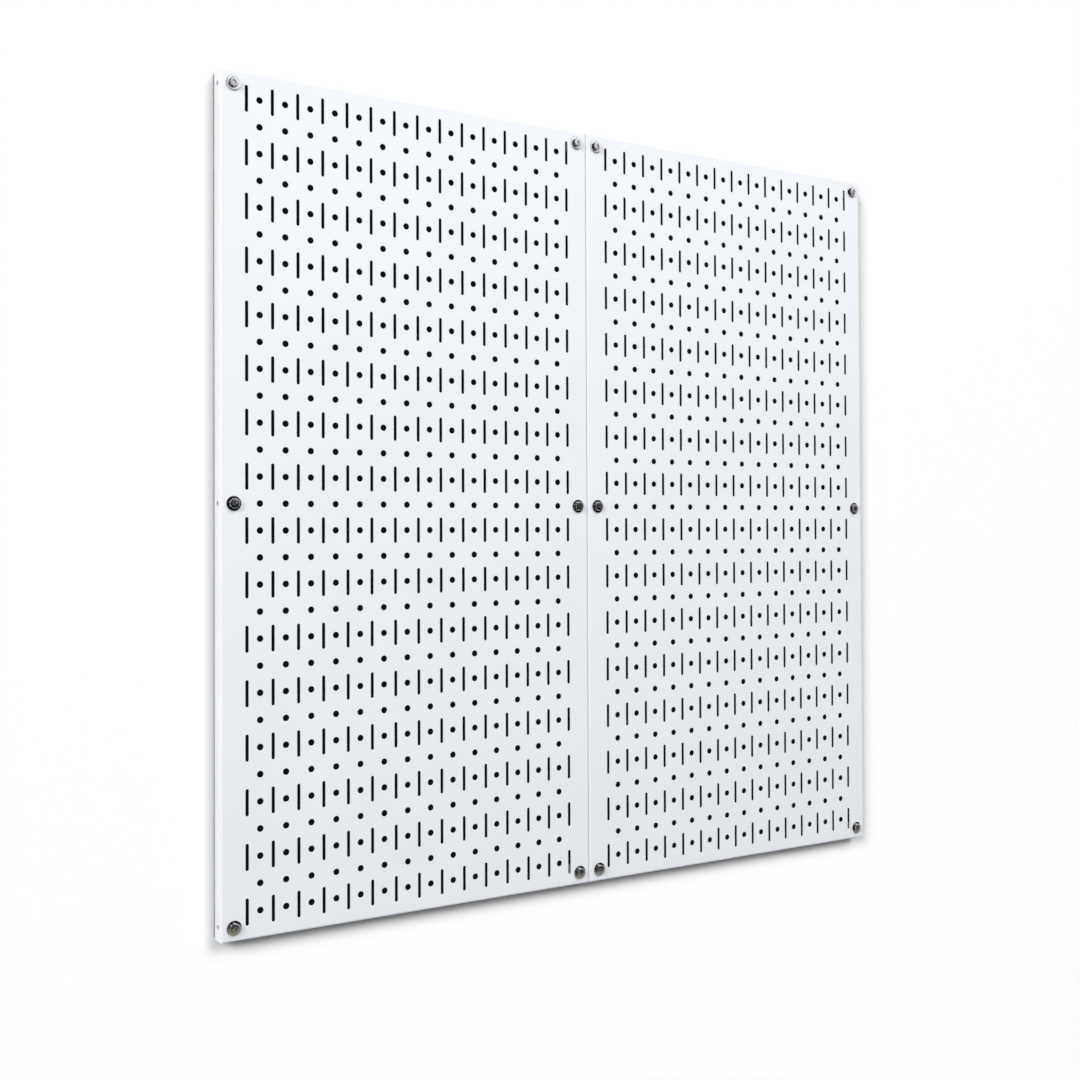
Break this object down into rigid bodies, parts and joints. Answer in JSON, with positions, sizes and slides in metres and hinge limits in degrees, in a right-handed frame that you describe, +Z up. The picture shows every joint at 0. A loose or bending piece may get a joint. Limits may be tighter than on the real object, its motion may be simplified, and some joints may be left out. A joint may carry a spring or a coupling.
{
  "type": "pegboard tool wall",
  "caption": "Wall pegboard of folded white steel panels with round peg holes and upright hook slots, held by pan-head screws with washers in wall anchors.",
  "frame": {"origin": "on the wall's surface behind the board, at the middle of its width and height", "axes": "+X to the viewer's right, +Y into the wall, +Z up"},
  "size_m": [0.8124, 0.0554, 0.8128],
  "materials": {
    "powder_coat": "satin",
    "screw_zinc": "gloss",
    "washer_zinc": "gloss",
    "anchor_plastic": "satin"
  },
  "bodies": {
    "root": {"left_panel": "powder_coat", "right_panel": "powder_coat", "screw_left_panel_top_left": "screw_zinc", "washer_left_panel_top_left": "washer_zinc", "wall_anchor_left_panel_top_left": "anchor_plastic", "screw_left_panel_middle_left": "screw_zinc", "washer_left_panel_middle_left": "washer_zinc", "wall_anchor_left_panel_middle_left": "anchor_plastic", "screw_left_panel_bottom_left": "screw_zinc", "washer_left_panel_bottom_left": "washer_zinc", "wall_anchor_left_panel_bottom_left": "anchor_plastic", "screw_left_panel_top_right": "screw_zinc", "washer_left_panel_top_right": "washer_zinc", "wall_anchor_left_panel_top_right": "anchor_plastic", "screw_left_panel_middle_right": "screw_zinc", "washer_left_panel_middle_right": "washer_zinc", "wall_anchor_left_panel_middle_right": "anchor_plastic", "screw_left_panel_bottom_right": "screw_zinc", "washer_left_panel_bottom_right": "washer_zinc", "wall_anchor_left_panel_bottom_right": "anchor_plastic", "screw_right_panel_top_left": "screw_zinc", "washer_right_panel_top_left": "washer_zinc", "wall_anchor_right_panel_top_left": "anchor_plastic", "screw_right_panel_middle_left": "screw_zinc", "washer_right_panel_middle_left": "washer_zinc", "wall_anchor_right_panel_middle_left": "anchor_plastic", "screw_right_panel_bottom_left": "screw_zinc", "washer_right_panel_bottom_left": "washer_zinc", "wall_anchor_right_panel_bottom_left": "anchor_plastic", "screw_right_panel_top_right": "screw_zinc", "washer_right_panel_top_right": "washer_zinc", "wall_anchor_right_panel_top_right": "anchor_plastic", "screw_right_panel_middle_right": "screw_zinc", "washer_right_panel_middle_right": "washer_zinc", "wall_anchor_right_panel_middle_right": "anchor_plastic", "screw_right_panel_bottom_right": "screw_zinc", "washer_right_panel_bottom_right": "washer_zinc", "wall_anchor_right_panel_bottom_right": "anchor_plastic"}
  },
  "joints": []
}
